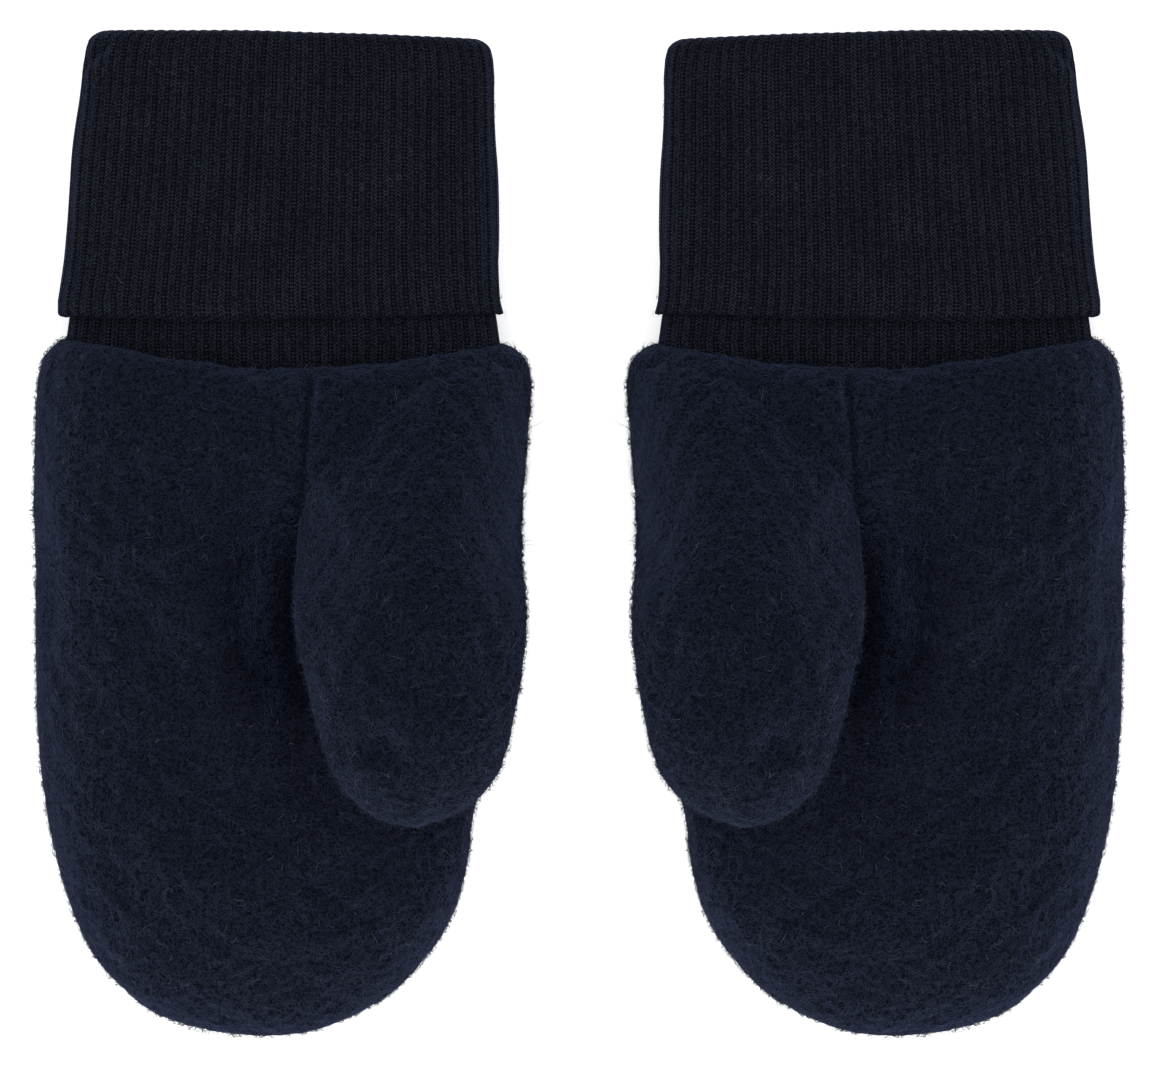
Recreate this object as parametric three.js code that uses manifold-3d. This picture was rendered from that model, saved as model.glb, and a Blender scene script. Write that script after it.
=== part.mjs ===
// A pair of child's wool-fleece mittens with turned-down rib-knit cuffs, lying side by side
// with the palms and thumbs up. Millimetres. +X runs across the pair, +Y towards the cuffs,
// +Z up from the table. The origin is on the table under the middle of the pair.

import * as THREE from "three";
import { mergeVertices } from "three/addons/utils/BufferGeometryUtils.js";
import Module from "manifold-3d";

const wasm = await Module();
wasm.setup();

// ---------------------------------------------------------------- driving dimensions

const MITTEN_OFFSET = 56.5; // from the middle of the pair to the centre line of each mitten
const HALF_LENGTH = 95.5; // half the length from cuff fold to fingertips
const WRIST_Y = 33; // where the fleece ends and the cuff seam begins
const FLEECE = 2.4; // thickness of the brushed fleece
const RIB = 2.0; // thickness of the turned-down double-layer rib knit
const STEM_WALL = 1.8; // thickness of the standing cuff, pressed flatter under the turn-down
const LINING = 0.6; // thickness of the jersey lining
const GAP = 0.3; // clearance between neighbouring pieces
const SEAM = 1.2; // width of a sewn seam
const HALF_SLOT = SEAM / 2 + GAP; // half the room that a seam takes between two panels
const HAND_SEAM_Z = 8.6; // height of the seam round the hand
const UPPER_HALF_Z = HAND_SEAM_Z + HALF_SLOT; // where the palm side begins
const THUMB_SEAM_Z = 24.6; // height of the seam round the thumb
const THUMB_UNDERSIDE = 18.2; // the thumb lies on the palm from this height up
const FOLD = 0.25; // half the slit along the thumb's fold line
const TURNBACK_EDGE_Y = 41.2; // lower edge of the turned-down cuff
const STEM_TOP_Y = 93; // top of the standing cuff, under the fold of the turn-down
const RING_POINTS = 20; // points round each cross-section
const SQUARENESS = 2.6; // superellipse exponent of the cross-sections
const RUN_OUT = 2; // how far a hollow runs past the open end that it cuts
const WRIST_RUN_OUT = 5; // the same at the wrist, where the sections still widen
const DEEPEST_WALL = 0.6; // a wall takes up at most this share of a small half size
const DRAW_IN_POWER = 4; // how sharply a wall stops drawing in at that share
const MERGE_DISTANCE = 1e-5; // corners of a mesh closer than this are one corner
const FAR = 200; // beyond every part of one mitten

// Cross-sections of one left mitten about its own centre line, from the cuff to the tip.
// The thumb side is +X. Each row holds y, left, right, bottom and top.

const POUCH = [
  [WRIST_Y, -38.6, 40.4, 1.8, 15.8],
  [31.5, -42.8, 44.6, 0.6, 17],
  [27, -46.2, 47.3, -0.3, 17.8],
  [10, -47.3, 46.8, -0.4, 18],
  [-12, -47.0, 46.5, -0.4, 18],
  [-24, -46.8, 43.8, -0.4, 18],
  [-45, -46.1, 38.8, -0.4, 18],
];
const TIP = { centre: -3.8, halfWidth: 42.4, middle: 8.8, halfHeight: 9.2, roundness: 2.25 };
const TIP_STEPS = [0.34, 0.6, 0.79, 0.92, 0.98];

const BASE_DOME = [
  [31, 4, 42, 4, 14],
  [25, 3.6, 46.6, -1, 19.5],
  [10, 3.1, 46.6, -7.8, 26.4],
  [-4, 2.4, 46.4, -11.6, 30.2],
  [-20, 2, 46.2, -12.6, 31.2],
];

const THUMB_BEND = 2; // the row from which the thumb's end wall is drawn back
const THUMB = [
  [4, 2.6, 46.6, THUMB_UNDERSIDE - 0.3, 30.4],
  [-10, 1.4, 46.7, THUMB_UNDERSIDE - 0.3, 31],
  [-21, 3.4, 46.2, THUMB_UNDERSIDE - 0.3, 31.2],
  [-32, 5.6, 44.4, THUMB_UNDERSIDE - 0.3, 31],
  [-41.5, 8.4, 42.4, THUMB_UNDERSIDE - 0.2, 30.4],
  [-48, 11.4, 39.8, THUMB_UNDERSIDE + 0.2, 29.4],
  [-52.5, 15, 36, THUMB_UNDERSIDE + 1.2, 28],
  [-55.6, 20.5, 30, THUMB_UNDERSIDE + 3.4, 26],
];

const CUFF = [
  [TURNBACK_EDGE_Y, -42.5, 42.7, -0.3, 17.2],
  [60, -41.2, 41.6, -0.3, 16.8],
  [78, -39.4, 40.4, -0.2, 16.2],
  [94, -36.9, 39.4, 0, 15.6],
  [HALF_LENGTH, -35.9, 38.4, 1, 14.6],
];
const STEM_FOOT = [WRIST_Y + SEAM + 2 * GAP, -39.4, 41, 1.9, 15.5];

// The palm-thumb seam runs from the cuff to the crotch, and the thumb folds along a line
// from the crotch to the outer edge of the hand.

const CROTCH = new THREE.Vector2(3.4, -2.5);
const SEAM_TOP = new THREE.Vector2(5.8, WRIST_Y + 3);
const FOLD_END = new THREE.Vector2(46.6, -16.7);

// ---------------------------------------------------------------- solids

function solidOf(geometry) {
  geometry.deleteAttribute("normal");
  geometry.deleteAttribute("uv");
  const merged = mergeVertices(geometry, MERGE_DISTANCE);
  const vertProperties = new Float32Array(merged.attributes.position.array);
  const triVerts = new Uint32Array(merged.index.array);
  return new wasm.Manifold(new wasm.Mesh({ numProp: 3, vertProperties, triVerts }));
}

function signedPower(value, power) {
  return Math.sign(value) * Math.abs(value) ** power;
}

// One cross-section, cut flat at the floor height.
function crossSection([y, left, right, bottom, top], floor) {
  const middleX = (left + right) / 2;
  const middleZ = (top + bottom) / 2;
  const ring = [];
  for (let i = 0; i < RING_POINTS; i += 1) {
    const angle = (2 * Math.PI * i) / RING_POINTS;
    const x = middleX + (right - middleX) * signedPower(Math.cos(angle), 2 / SQUARENESS);
    const z = middleZ + (top - middleZ) * signedPower(Math.sin(angle), 2 / SQUARENESS);
    ring.push(new THREE.Vector3(x, y, Math.max(z, floor)));
  }
  return ring;
}

function centreOf(ring) {
  const centre = new THREE.Vector3();
  ring.forEach((point) => centre.add(point));
  return centre.divideScalar(ring.length);
}

// A closed skin over cross-sections that follow each other towards -Y.
function loft(stations, floor = -FAR) {
  const rings = stations.map((station) => crossSection(station, floor));
  const points = rings.flat();
  const index = [];
  for (let i = 0; i < rings.length - 1; i += 1) {
    for (let k = 0; k < RING_POINTS; k += 1) {
      const a = i * RING_POINTS + k;
      const b = i * RING_POINTS + ((k + 1) % RING_POINTS);
      index.push(a, b, a + RING_POINTS, b, b + RING_POINTS, a + RING_POINTS);
    }
  }
  const last = (rings.length - 1) * RING_POINTS;
  const topCentre = points.length;
  points.push(centreOf(rings[0]), centreOf(rings[rings.length - 1]));
  for (let k = 0; k < RING_POINTS; k += 1) {
    const next = (k + 1) % RING_POINTS;
    index.push(topCentre, next, k, topCentre + 1, last + k, last + next);
  }
  const geometry = new THREE.BufferGeometry().setFromPoints(points);
  geometry.setIndex(index);
  return solidOf(geometry);
}

// An upright prism over a plan outline given as [x, y] pairs.
function prism(outline, bottom, top) {
  const shape = new THREE.Shape(outline.map(([x, y]) => new THREE.Vector2(x, y)));
  const geometry = new THREE.ExtrudeGeometry(shape, { depth: top - bottom, bevelEnabled: false });
  geometry.translate(0, 0, bottom);
  return solidOf(geometry);
}

function layer(bottom, top) {
  return prism([[-FAR, -FAR], [FAR, -FAR], [FAR, FAR], [-FAR, FAR]], bottom, top);
}

// Everything between two lines across the mitten, each given by its y at -FAR and at +FAR.
function between([lowLeft, lowRight], [highLeft, highRight]) {
  const outline = [[-FAR, lowLeft], [FAR, lowRight], [FAR, highRight], [-FAR, highLeft]];
  return prism(outline, -FAR, FAR);
}

function stretch(lowY, highY) {
  return between([lowY, lowY], [highY, highY]);
}

// ---------------------------------------------------------------- station lists

// The rounded end of the hand, from the last pouch section to the fingertips.
function tipStations() {
  const start = POUCH[POUCH.length - 1][0];
  return TIP_STEPS.map((step) => {
    const size = (1 - step ** TIP.roundness) ** (1 / TIP.roundness);
    const y = start - step * (start + HALF_LENGTH);
    const reach = TIP.halfWidth * size;
    const rise = TIP.halfHeight * size;
    return [y, TIP.centre - reach, TIP.centre + reach, TIP.middle - rise, TIP.middle + rise];
  });
}

function fingertip() {
  const reach = 5;
  const rise = 1.6;
  return [-HALF_LENGTH, TIP.centre - reach, TIP.centre + reach, TIP.middle - rise, TIP.middle + rise];
}

// Runs a station list past its cuff end, so that a hollow cut with it is open there.
function openedAtWrist(stations) {
  const [y, ...size] = stations[0];
  return [[y + WRIST_RUN_OUT, ...size], ...stations];
}

// How far a wall draws in a half size: by its full thickness, but less where there is no room.
function drawIn(half, inset) {
  const limit = DEEPEST_WALL * half;
  return inset / (1 + (inset / limit) ** DRAW_IN_POWER) ** (1 / DRAW_IN_POWER);
}

function narrowed([y, left, right, bottom, top], inset, shift = 0) {
  const dx = drawIn((right - left) / 2, inset);
  const dz = drawIn((top - bottom) / 2, inset);
  return [y + shift, left + dx, right - dx, bottom + dz, top - dz];
}

// Moves sections back from the tip, so that the end wall keeps its thickness.
function tipShift(y, tipY, bendY, inset) {
  return inset * Math.max(0, (bendY - y) / (bendY - tipY));
}

// ---------------------------------------------------------------- whole forms of one mitten

const HAND = [...POUCH, ...tipStations(), fingertip()];

// The outer form of the hand, or what is left inside a wall of the given thickness.
function handForm(inset) {
  if (inset === 0) {
    return loft(HAND, 0);
  }
  const [wrist, ...rest] = HAND;
  const bendY = POUCH[POUCH.length - 1][0];
  const inner = rest.map((row) => {
    const shoulder = row[0] > 0 ? -inset : 0;
    return narrowed(row, inset, shoulder + tipShift(row[0], -HALF_LENGTH, bendY, inset));
  });
  return loft(openedAtWrist([narrowed(wrist, inset), ...inner]), inset);
}

// The rise of the thumb's base out of the palm, ending a little before the fold line.
function domeForm(inset, end) {
  const dome = loft(BASE_DOME.map((row) => narrowed(row, inset, -inset / 2)), UPPER_HALF_Z);
  return dome.intersect(beforeFold(end));
}

function thumbForm(inset) {
  const bendY = THUMB[THUMB_BEND][0];
  const tipY = THUMB[THUMB.length - 1][0];
  const rows = THUMB.map((row) => narrowed(row, inset, tipShift(row[0], tipY, bendY, inset)));
  return loft(rows, THUMB_UNDERSIDE + inset);
}

// Hand and thumb base together.
function palmForm(inset) {
  return handForm(inset).add(domeForm(inset, FOLD));
}

// The same as a hollow to cut with, which runs out past the fold line.
function palmHollow(inset) {
  return handForm(inset).add(domeForm(inset, -RUN_OUT));
}

// ---------------------------------------------------------------- plan regions

function seamX(y) {
  const share = (y - CROTCH.y) / (SEAM_TOP.y - CROTCH.y);
  return CROTCH.x + share * (SEAM_TOP.x - CROTCH.x);
}

function foldY(x) {
  const share = (x - CROTCH.x) / (FOLD_END.x - CROTCH.x);
  return CROTCH.y + share * (FOLD_END.y - CROTCH.y);
}

// The side of the fold line towards the cuff.
function beforeFold(offset) {
  return between([foldY(-FAR) + offset, foldY(FAR) + offset], [FAR, FAR]);
}

// The side of the fold line towards the fingertips.
function beyondFold(offset) {
  return between([-FAR, -FAR], [foldY(-FAR) - offset, foldY(FAR) - offset]);
}

// The thumb side of the palm-thumb seam, on the cuff side of the fold line.
function baseRegion(beside, above) {
  const x = CROTCH.x + beside;
  const corner = [x, foldY(x) + above];
  const outline = [corner, [FAR, foldY(FAR) + above], [FAR, FAR], [seamX(FAR) + beside, FAR]];
  return prism(outline, -FAR, FAR);
}

function seamStrip() {
  const half = SEAM / 2;
  const low = foldY(CROTCH.x) + FOLD;
  const atCrotch = [[CROTCH.x - half, low], [CROTCH.x + half, low]];
  const beyondCuff = [[seamX(FAR) + half, FAR], [seamX(FAR) - half, FAR]];
  return prism([...atCrotch, ...beyondCuff], -FAR, FAR);
}

// ---------------------------------------------------------------- pieces of one mitten

const belowWrist = stretch(-FAR, WRIST_Y);
const upperHalf = layer(UPPER_HALF_Z, FAR);
const lowerHalf = layer(-FAR, HAND_SEAM_Z - HALF_SLOT);

function handShell() {
  return handForm(0).subtract(handForm(FLEECE)).intersect(belowWrist);
}

function backPanel() {
  return handShell().intersect(lowerHalf);
}

function palmPanel() {
  return handShell().intersect(upperHalf).subtract(baseRegion(-HALF_SLOT, -FOLD));
}

function handSeam() {
  return handShell().intersect(layer(HAND_SEAM_Z - SEAM / 2, HAND_SEAM_Z + SEAM / 2));
}

function thumbBase() {
  const shell = palmForm(0).subtract(palmHollow(FLEECE));
  return shell.intersect(belowWrist).intersect(upperHalf).intersect(baseRegion(HALF_SLOT, FOLD));
}

function palmThumbSeam() {
  const shell = palmForm(0).subtract(palmHollow(FLEECE));
  return shell.intersect(belowWrist).intersect(upperHalf).intersect(seamStrip());
}

function thumbShell() {
  return thumbForm(0).subtract(thumbForm(FLEECE)).intersect(beyondFold(FOLD));
}

function thumbFront() {
  return thumbShell().intersect(layer(THUMB_SEAM_Z + HALF_SLOT, FAR));
}

function thumbBack() {
  return thumbShell().intersect(layer(-FAR, THUMB_SEAM_Z - HALF_SLOT));
}

function thumbSeam() {
  return thumbShell().intersect(layer(THUMB_SEAM_Z - SEAM / 2, THUMB_SEAM_Z + SEAM / 2));
}

function handLining() {
  const outside = palmForm(FLEECE + GAP);
  const inside = palmHollow(FLEECE + GAP + LINING);
  return outside.subtract(inside).intersect(belowWrist);
}

function thumbLining() {
  const outside = thumbForm(FLEECE + GAP);
  const inside = thumbForm(FLEECE + GAP + LINING);
  return outside.subtract(inside).intersect(beyondFold(FOLD));
}

function cuffSeam() {
  const [, ...size] = STEM_FOOT;
  const low = WRIST_Y + GAP;
  const band = [[low + SEAM, ...size], [low, ...size]];
  const hollow = [[low + SEAM + RUN_OUT, ...size], [low - RUN_OUT, ...size]];
  return loft(band).subtract(loft(hollow.map((row) => narrowed(row, FLEECE))));
}

// The standing cuff keeps clear of the turn-down all the way up.
function stemStations() {
  const clear = RIB + GAP;
  const rising = CUFF.slice(0, -1).map(([y, left, right, bottom, top]) => {
    return [y, left + clear, right - clear, Math.max(bottom, 0) + clear, top - clear];
  });
  const [, ...last] = rising[rising.length - 1];
  rising[rising.length - 1] = [STEM_TOP_Y, ...last];
  return [STEM_FOOT, ...rising].reverse();
}

function cuffStem() {
  const stations = stemStations();
  const [, ...topSize] = stations[0];
  const [footY, ...footSize] = stations[stations.length - 1];
  const top = [STEM_TOP_Y + RUN_OUT, ...topSize];
  const hollow = [top, ...stations, [footY - RUN_OUT, ...footSize]];
  return loft(stations).subtract(loft(hollow.map((row) => narrowed(row, STEM_WALL))));
}

// The turn-down hangs over the standing cuff, and its fold closes over the cuff's top edge.
function cuffTurnback() {
  const stations = [...CUFF].reverse();
  const [lowY, ...lowSize] = CUFF[0];
  const under = [...stations.slice(1), [lowY - RUN_OUT, ...lowSize]];
  const sleeve = loft(under.map((row) => narrowed(row, RIB)), RIB);
  const foldBottom = STEM_TOP_Y + GAP;
  const [, ...topSize] = stemStations()[0];
  const mouthRows = [[HALF_LENGTH + RUN_OUT, ...topSize], [foldBottom - RUN_OUT, ...topSize]];
  const mouth = loft(mouthRows.map((row) => narrowed(row, STEM_WALL)));
  const hollow = sleeve.intersect(stretch(-FAR, foldBottom)).add(mouth);
  return loft(stations, 0).subtract(hollow);
}

// ---------------------------------------------------------------- scene graph

const fleece = new THREE.MeshStandardMaterial({ color: 0x161b26, roughness: 0.95, metalness: 0 });
const rib = new THREE.MeshStandardMaterial({ color: 0x14171f, roughness: 0.85, metalness: 0 });
const thread = new THREE.MeshStandardMaterial({ color: 0x10131c, roughness: 0.8, metalness: 0 });
const jersey = new THREE.MeshStandardMaterial({ color: 0x1d2330, roughness: 0.9, metalness: 0 });

// The right mitten is the mirror image of the left one.
function meshOf(name, solid, material, mirrored) {
  const { vertProperties, triVerts } = solid.getMesh();
  const points = Float32Array.from(vertProperties);
  const index = Uint32Array.from(triVerts);
  if (mirrored) {
    for (let i = 0; i < points.length; i += 3) {
      points[i] *= -1;
    }
    index.reverse();
  }
  const geometry = new THREE.BufferGeometry();
  geometry.setAttribute("position", new THREE.BufferAttribute(points, 3));
  geometry.setIndex(new THREE.BufferAttribute(index, 1));
  geometry.computeVertexNormals();
  const mesh = new THREE.Mesh(geometry, material);
  mesh.name = name;
  return mesh;
}

const PIECES = [
  ["back_panel", backPanel(), fleece],
  ["palm_panel", palmPanel(), fleece],
  ["hand_seam", handSeam(), thread],
  ["thumb_base", thumbBase(), fleece],
  ["palm_thumb_seam", palmThumbSeam(), thread],
  ["hand_lining", handLining(), jersey],
  ["cuff_seam", cuffSeam(), thread],
  ["cuff_stem", cuffStem(), rib],
  ["thumb_front", thumbFront(), fleece],
  ["thumb_back", thumbBack(), fleece],
  ["thumb_seam", thumbSeam(), thread],
  ["thumb_lining", thumbLining(), jersey],
  ["cuff_turnback", cuffTurnback(), rib],
];

function mitten(side, mirrored) {
  const group = new THREE.Group();
  PIECES.forEach(([name, solid, material]) => {
    group.add(meshOf(`${side}_${name}`, solid, material, mirrored));
  });
  group.position.x = mirrored ? MITTEN_OFFSET : -MITTEN_OFFSET;
  return group;
}

const group = new THREE.Group();
group.add(mitten("left", false), mitten("right", true));
export default group;
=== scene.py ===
"""A pair of child's wool-fleece mittens with turned-down rib cuffs, built around the CAD frame.

Every shape is worked out for the left mitten about its own centre line, in millimetres, with the
thumb side at +X, and is then placed on its side of the frame. The right mitten is the mirror image.
"""

import math

import bpy
import numpy as np
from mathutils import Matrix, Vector


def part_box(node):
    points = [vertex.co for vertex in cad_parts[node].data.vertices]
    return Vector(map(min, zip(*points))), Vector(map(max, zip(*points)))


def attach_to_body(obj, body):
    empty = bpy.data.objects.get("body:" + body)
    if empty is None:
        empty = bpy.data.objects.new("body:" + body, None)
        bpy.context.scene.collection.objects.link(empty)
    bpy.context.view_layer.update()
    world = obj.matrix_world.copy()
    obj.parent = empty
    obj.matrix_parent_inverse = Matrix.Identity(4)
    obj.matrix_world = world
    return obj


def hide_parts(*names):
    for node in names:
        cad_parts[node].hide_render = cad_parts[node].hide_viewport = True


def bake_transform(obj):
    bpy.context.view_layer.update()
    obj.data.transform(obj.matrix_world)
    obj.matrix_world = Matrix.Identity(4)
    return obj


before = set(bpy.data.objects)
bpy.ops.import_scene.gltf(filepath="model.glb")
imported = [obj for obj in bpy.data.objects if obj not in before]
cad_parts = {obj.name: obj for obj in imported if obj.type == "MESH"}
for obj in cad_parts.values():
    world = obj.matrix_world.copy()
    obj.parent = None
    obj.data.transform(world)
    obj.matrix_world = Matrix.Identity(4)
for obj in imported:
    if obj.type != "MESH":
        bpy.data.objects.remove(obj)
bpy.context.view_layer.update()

# ---- sizes from the frame

MM = 0.001
LEFT_BACK = [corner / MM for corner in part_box("left_back_panel")]
LEFT_CUFF = [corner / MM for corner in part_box("left_cuff_turnback")]
LEFT_STEM = [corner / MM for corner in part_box("left_cuff_stem")]
CENTRE_X = (LEFT_BACK[0].x + LEFT_BACK[1].x) / 2
CUFF_TOP = LEFT_CUFF[1].y
CUFF_EDGE = LEFT_CUFF[0].y
STEM_TOP = LEFT_STEM[1].y
SIDES = ("left", "right")

# ---- shape helpers


def spline(rows, t):
    """Catmull-Rom through the rows, at parameters t from 0 to the last row's index."""
    rows = np.asarray(rows, float)
    last = len(rows) - 1
    i = np.clip(np.floor(t).astype(int), 0, last - 1)
    f = (t - i)[:, None]
    a, b, c, d = (rows[np.clip(i + k, 0, last)] for k in (-1, 0, 1, 2))
    cubic = (-a + 3 * b - 3 * c + d) * f**3
    return 0.5 * (2 * b + (c - a) * f + (2 * a - 5 * b + 4 * c - d) * f**2 + cubic)


def even_steps(points, count):
    """Parameters that cut a finely sampled polyline of points into count even steps."""
    lengths = np.linalg.norm(np.diff(points, axis=0), axis=1)
    along = np.concatenate([[0], np.cumsum(lengths)])
    wanted = np.linspace(0, along[-1], count)
    return np.interp(wanted, along, np.linspace(0, 1, len(points)))


def signed_power(value, power):
    return np.sign(value) * np.abs(value) ** power


def draw_in(half, inset):
    """How far a wall can draw in a half size: its full thickness, but at most 60%."""
    limit = np.maximum(0.6 * half, 1e-6)
    return inset / (1 + (inset / limit) ** 4) ** 0.25


def ripple(points, wavelength, seed, waves=28):
    """A smooth random field of about unit size over the points."""
    rng = np.random.default_rng(seed)
    directions = rng.normal(size=(waves, 3))
    directions /= np.linalg.norm(directions, axis=1)[:, None]
    rates = 2 * np.pi / wavelength * rng.uniform(0.7, 1.35, waves)
    phases = rng.uniform(0, 2 * np.pi, waves)
    angles = points @ (directions * rates[:, None]).T + phases
    return np.cos(angles).sum(-1) * math.sqrt(2 / waves)


def grid_normals(grid):
    """Unit normals of a grid of points, shape (rows, columns, 3)."""
    down = np.gradient(grid, axis=0)
    across = np.gradient(grid, axis=1)
    normal = np.cross(across, down)
    return normal / (np.linalg.norm(normal, axis=2)[..., None] + 1e-12)


def smooth_bump(distance, width):
    return np.exp(-((distance / width) ** 2))


# ---- mesh building


def to_frame(points, side):
    """From the mitten's own millimetres to the frame's metres."""
    placed = np.array(points, float).reshape(-1, 3)
    placed[:, 0] += CENTRE_X
    if side == "right":
        placed[:, 0] *= -1
    return placed * MM


def add_to_scene(name, data):
    obj = bpy.data.objects.new(name, data)
    bpy.context.scene.collection.objects.link(obj)
    return obj


def store(mesh, name, kind, domain, values):
    """Keeps values as a named attribute of the mesh."""
    attribute = mesh.attributes.new(name, kind, domain)
    key = "vector" if kind == "FLOAT_VECTOR" else "value"
    attribute.data.foreach_set(key, np.asarray(values, np.float32).ravel())


def mesh_object(name, points, faces, side, materials, rest=None, shades=None, pressed=None):
    """A smooth mesh object from points and a list of face arrays, each (count, corners)."""
    placed = to_frame(points, side)
    if side == "right":
        faces = [f[:, ::-1] for f in faces]
    mesh = bpy.data.meshes.new(name)
    loops = np.concatenate([f.ravel() for f in faces])
    sizes = np.concatenate([np.full(len(f), f.shape[1]) for f in faces])
    starts = np.concatenate([[0], np.cumsum(sizes)[:-1]])
    mesh.vertices.add(len(placed))
    mesh.vertices.foreach_set("co", placed.astype(np.float32).ravel())
    mesh.loops.add(len(loops))
    mesh.loops.foreach_set("vertex_index", loops.astype(np.int32))
    mesh.polygons.add(len(sizes))
    mesh.polygons.foreach_set("loop_start", starts.astype(np.int32))
    mesh.polygons.foreach_set("use_smooth", np.ones(len(sizes), bool))
    for material in materials:
        mesh.materials.append(material)
    if shades is not None:
        mesh.polygons.foreach_set("material_index", shades.astype(np.int32))
    if rest is not None:
        store(mesh, "rest", "FLOAT_VECTOR", "POINT", rest)
    if pressed is not None:
        store(mesh, "pressed", "FLOAT", "POINT", pressed)
    mesh.update(calc_edges=True)
    mesh.validate()
    return add_to_scene(name, mesh)


def grid_quads(rows, columns, wrap_rows=False, wrap_columns=False):
    """Quads of a grid of points, numbered row by row."""
    r = np.arange(rows if wrap_rows else rows - 1)
    c = np.arange(columns if wrap_columns else columns - 1)
    r, c = (part.ravel() for part in np.meshgrid(r, c, indexing="ij"))
    down, right = (r + 1) % rows, (c + 1) % columns
    corners = [(r, c), (r, right), (down, right), (down, c)]
    return np.stack([row * columns + column for row, column in corners], axis=1)


def zip_edges(first, second):
    """Triangles between two runs of points with different counts."""
    triangles = []
    i = j = 0
    while i < len(first) - 1 or j < len(second) - 1:
        step_first = (i + 1) / max(len(first) - 1, 1) <= (j + 1) / max(len(second) - 1, 1)
        if j == len(second) - 1 or (step_first and i < len(first) - 1):
            triangles.append((first[i], first[i + 1], second[j]))
            i += 1
        else:
            triangles.append((first[i], second[j + 1], second[j]))
            j += 1
    return np.array(triangles)


# ---- the fleece forms

# Left edge y, x; right edge y, x; lowest and highest surface. Both edges lie at HAND_EDGE.
HAND_OUTLINE = [
    (36.8, -40.3, 35.6, 41.4, 2.2, 15.3),
    (36.6, -42.4, 35.0, 43.8, 0.9, 16.6),
    (34.2, -45.2, 32.6, 46.7, 0.1, 17.6),
    (29.6, -46.6, 28.4, 47.6, 0.0, 18.0),
    (23.0, -47.2, 21.5, 47.0, 0.0, 18.2),
    (11.0, -47.4, 10.5, 46.0, 0.0, 18.2),
    (-4.0, -47.3, -4.0, 45.6, 0.0, 18.0),
    (-18.0, -47.3, -18.0, 45.0, 0.0, 17.8),
    (-32.0, -46.9, -32.0, 42.4, 0.0, 17.8),
    (-44.0, -46.3, -44.0, 39.2, 0.0, 17.9),
    (-54.0, -45.0, -54.0, 36.4, 0.0, 18.0),
    (-64.0, -42.7, -64.0, 35.1, 0.1, 17.9),
    (-73.7, -39.5, -73.7, 32.0, 0.3, 17.4),
    (-81.3, -35.6, -81.3, 27.2, 1.0, 16.4),
    (-87.3, -30.2, -87.3, 21.4, 2.2, 15.1),
    (-91.7, -23.9, -91.7, 14.6, 3.7, 13.5),
    (-94.4, -16.8, -94.4, 7.4, 5.4, 11.8),
    (-95.7, -10.2, -95.7, 1.0, 6.8, 10.4),
    (-96.0, -5.8, -96.0, -3.4, 7.9, 9.3),
]
HAND_EDGE = 8.6
HAND_ROWS = [(*row[:4], HAND_EDGE, HAND_EDGE, *row[4:]) for row in HAND_OUTLINE]

# Thumb panel, from the cuff over the thumb's base to the tip of the thumb: left edge y, x; right
# edge y, x; heights of the left and right edges; lowest and highest surface.
THUMB_ROWS = [
    (30.0, 6.6, 35.0, 40.6, 14.0, 8.8, 7.0, 15.0),
    (28.6, 6.0, 31.6, 46.0, 15.6, 8.8, 6.6, 17.8),
    (23.0, 5.5, 25.0, 47.4, 16.4, 8.8, 5.0, 20.4),
    (13.6, 4.9, 14.0, 46.5, 16.8, 9.0, 4.0, 23.4),
    (4.0, 4.1, 3.0, 45.9, 17.0, 10.4, 6.0, 26.4),
    (-4.0, 3.2, -5.0, 46.0, 18.0, 14.5, 10.0, 28.8),
    (-12.5, 2.4, -13.0, 46.8, 21.4, 20.6, 15.6, 30.4),
    (-20.5, 3.4, -21.0, 46.7, 23.6, 24.2, 18.2, 31.0),
    (-30.0, 5.4, -31.0, 45.2, 24.2, 24.6, 18.4, 31.2),
    (-41.0, 8.1, -40.5, 43.4, 24.6, 24.6, 18.4, 30.4),
    (-47.4, 11.0, -46.6, 40.8, 23.8, 23.8, 18.6, 29.2),
    (-51.8, 14.8, -51.0, 36.9, 23.2, 23.2, 19.2, 27.4),
    (-54.2, 19.0, -53.8, 32.2, 22.6, 22.6, 20.0, 25.4),
    (-55.2, 22.8, -55.1, 28.2, 22.4, 22.4, 21.2, 23.8),
    (-55.5, 25.2, -55.5, 26.2, 22.4, 22.4, 22.0, 22.8),
]
SAG_FADE = 16.0  # over this length the dip of the cuff seam dies out
LEAN_FROM = -34.0  # y where the inner edge of the thumb's panel starts to lean down to the palm
LEAN_FADE = 30.0
WIDEST_SHARE = 0.45  # where along its rows a form is about widest
GRAIN = 0.55  # spacing of the fine fleece grid
FLEECE = 2.2  # thickness of the fleece
LINING = 0.6  # thickness of the lining
LINING_GRAIN = 2.5  # spacing of its grid
LINING_INSET = 2.9  # how far the lining lies inside the fleece's outer surface
GROOVE_DEPTH = 0.8  # of the groove in which the panels meet
GROOVE_WIDTH = 0.8


def station_parameters(rows, spacing):
    """Row parameters spaced evenly along the mean of the two edges."""
    dense = np.linspace(0, len(rows) - 1, 60 * len(rows))
    found = spline(rows, dense)
    left = np.stack([found[:, 1], found[:, 0]], axis=1)
    right = np.stack([found[:, 3], found[:, 2]], axis=1)
    left_length = np.linalg.norm(np.diff(left, axis=0), axis=1).sum()
    count = int(left_length / spacing)
    share_left = even_steps(left, count)
    share_right = even_steps(right, count)
    return (share_left + share_right) / 2 * (len(rows) - 1)


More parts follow.
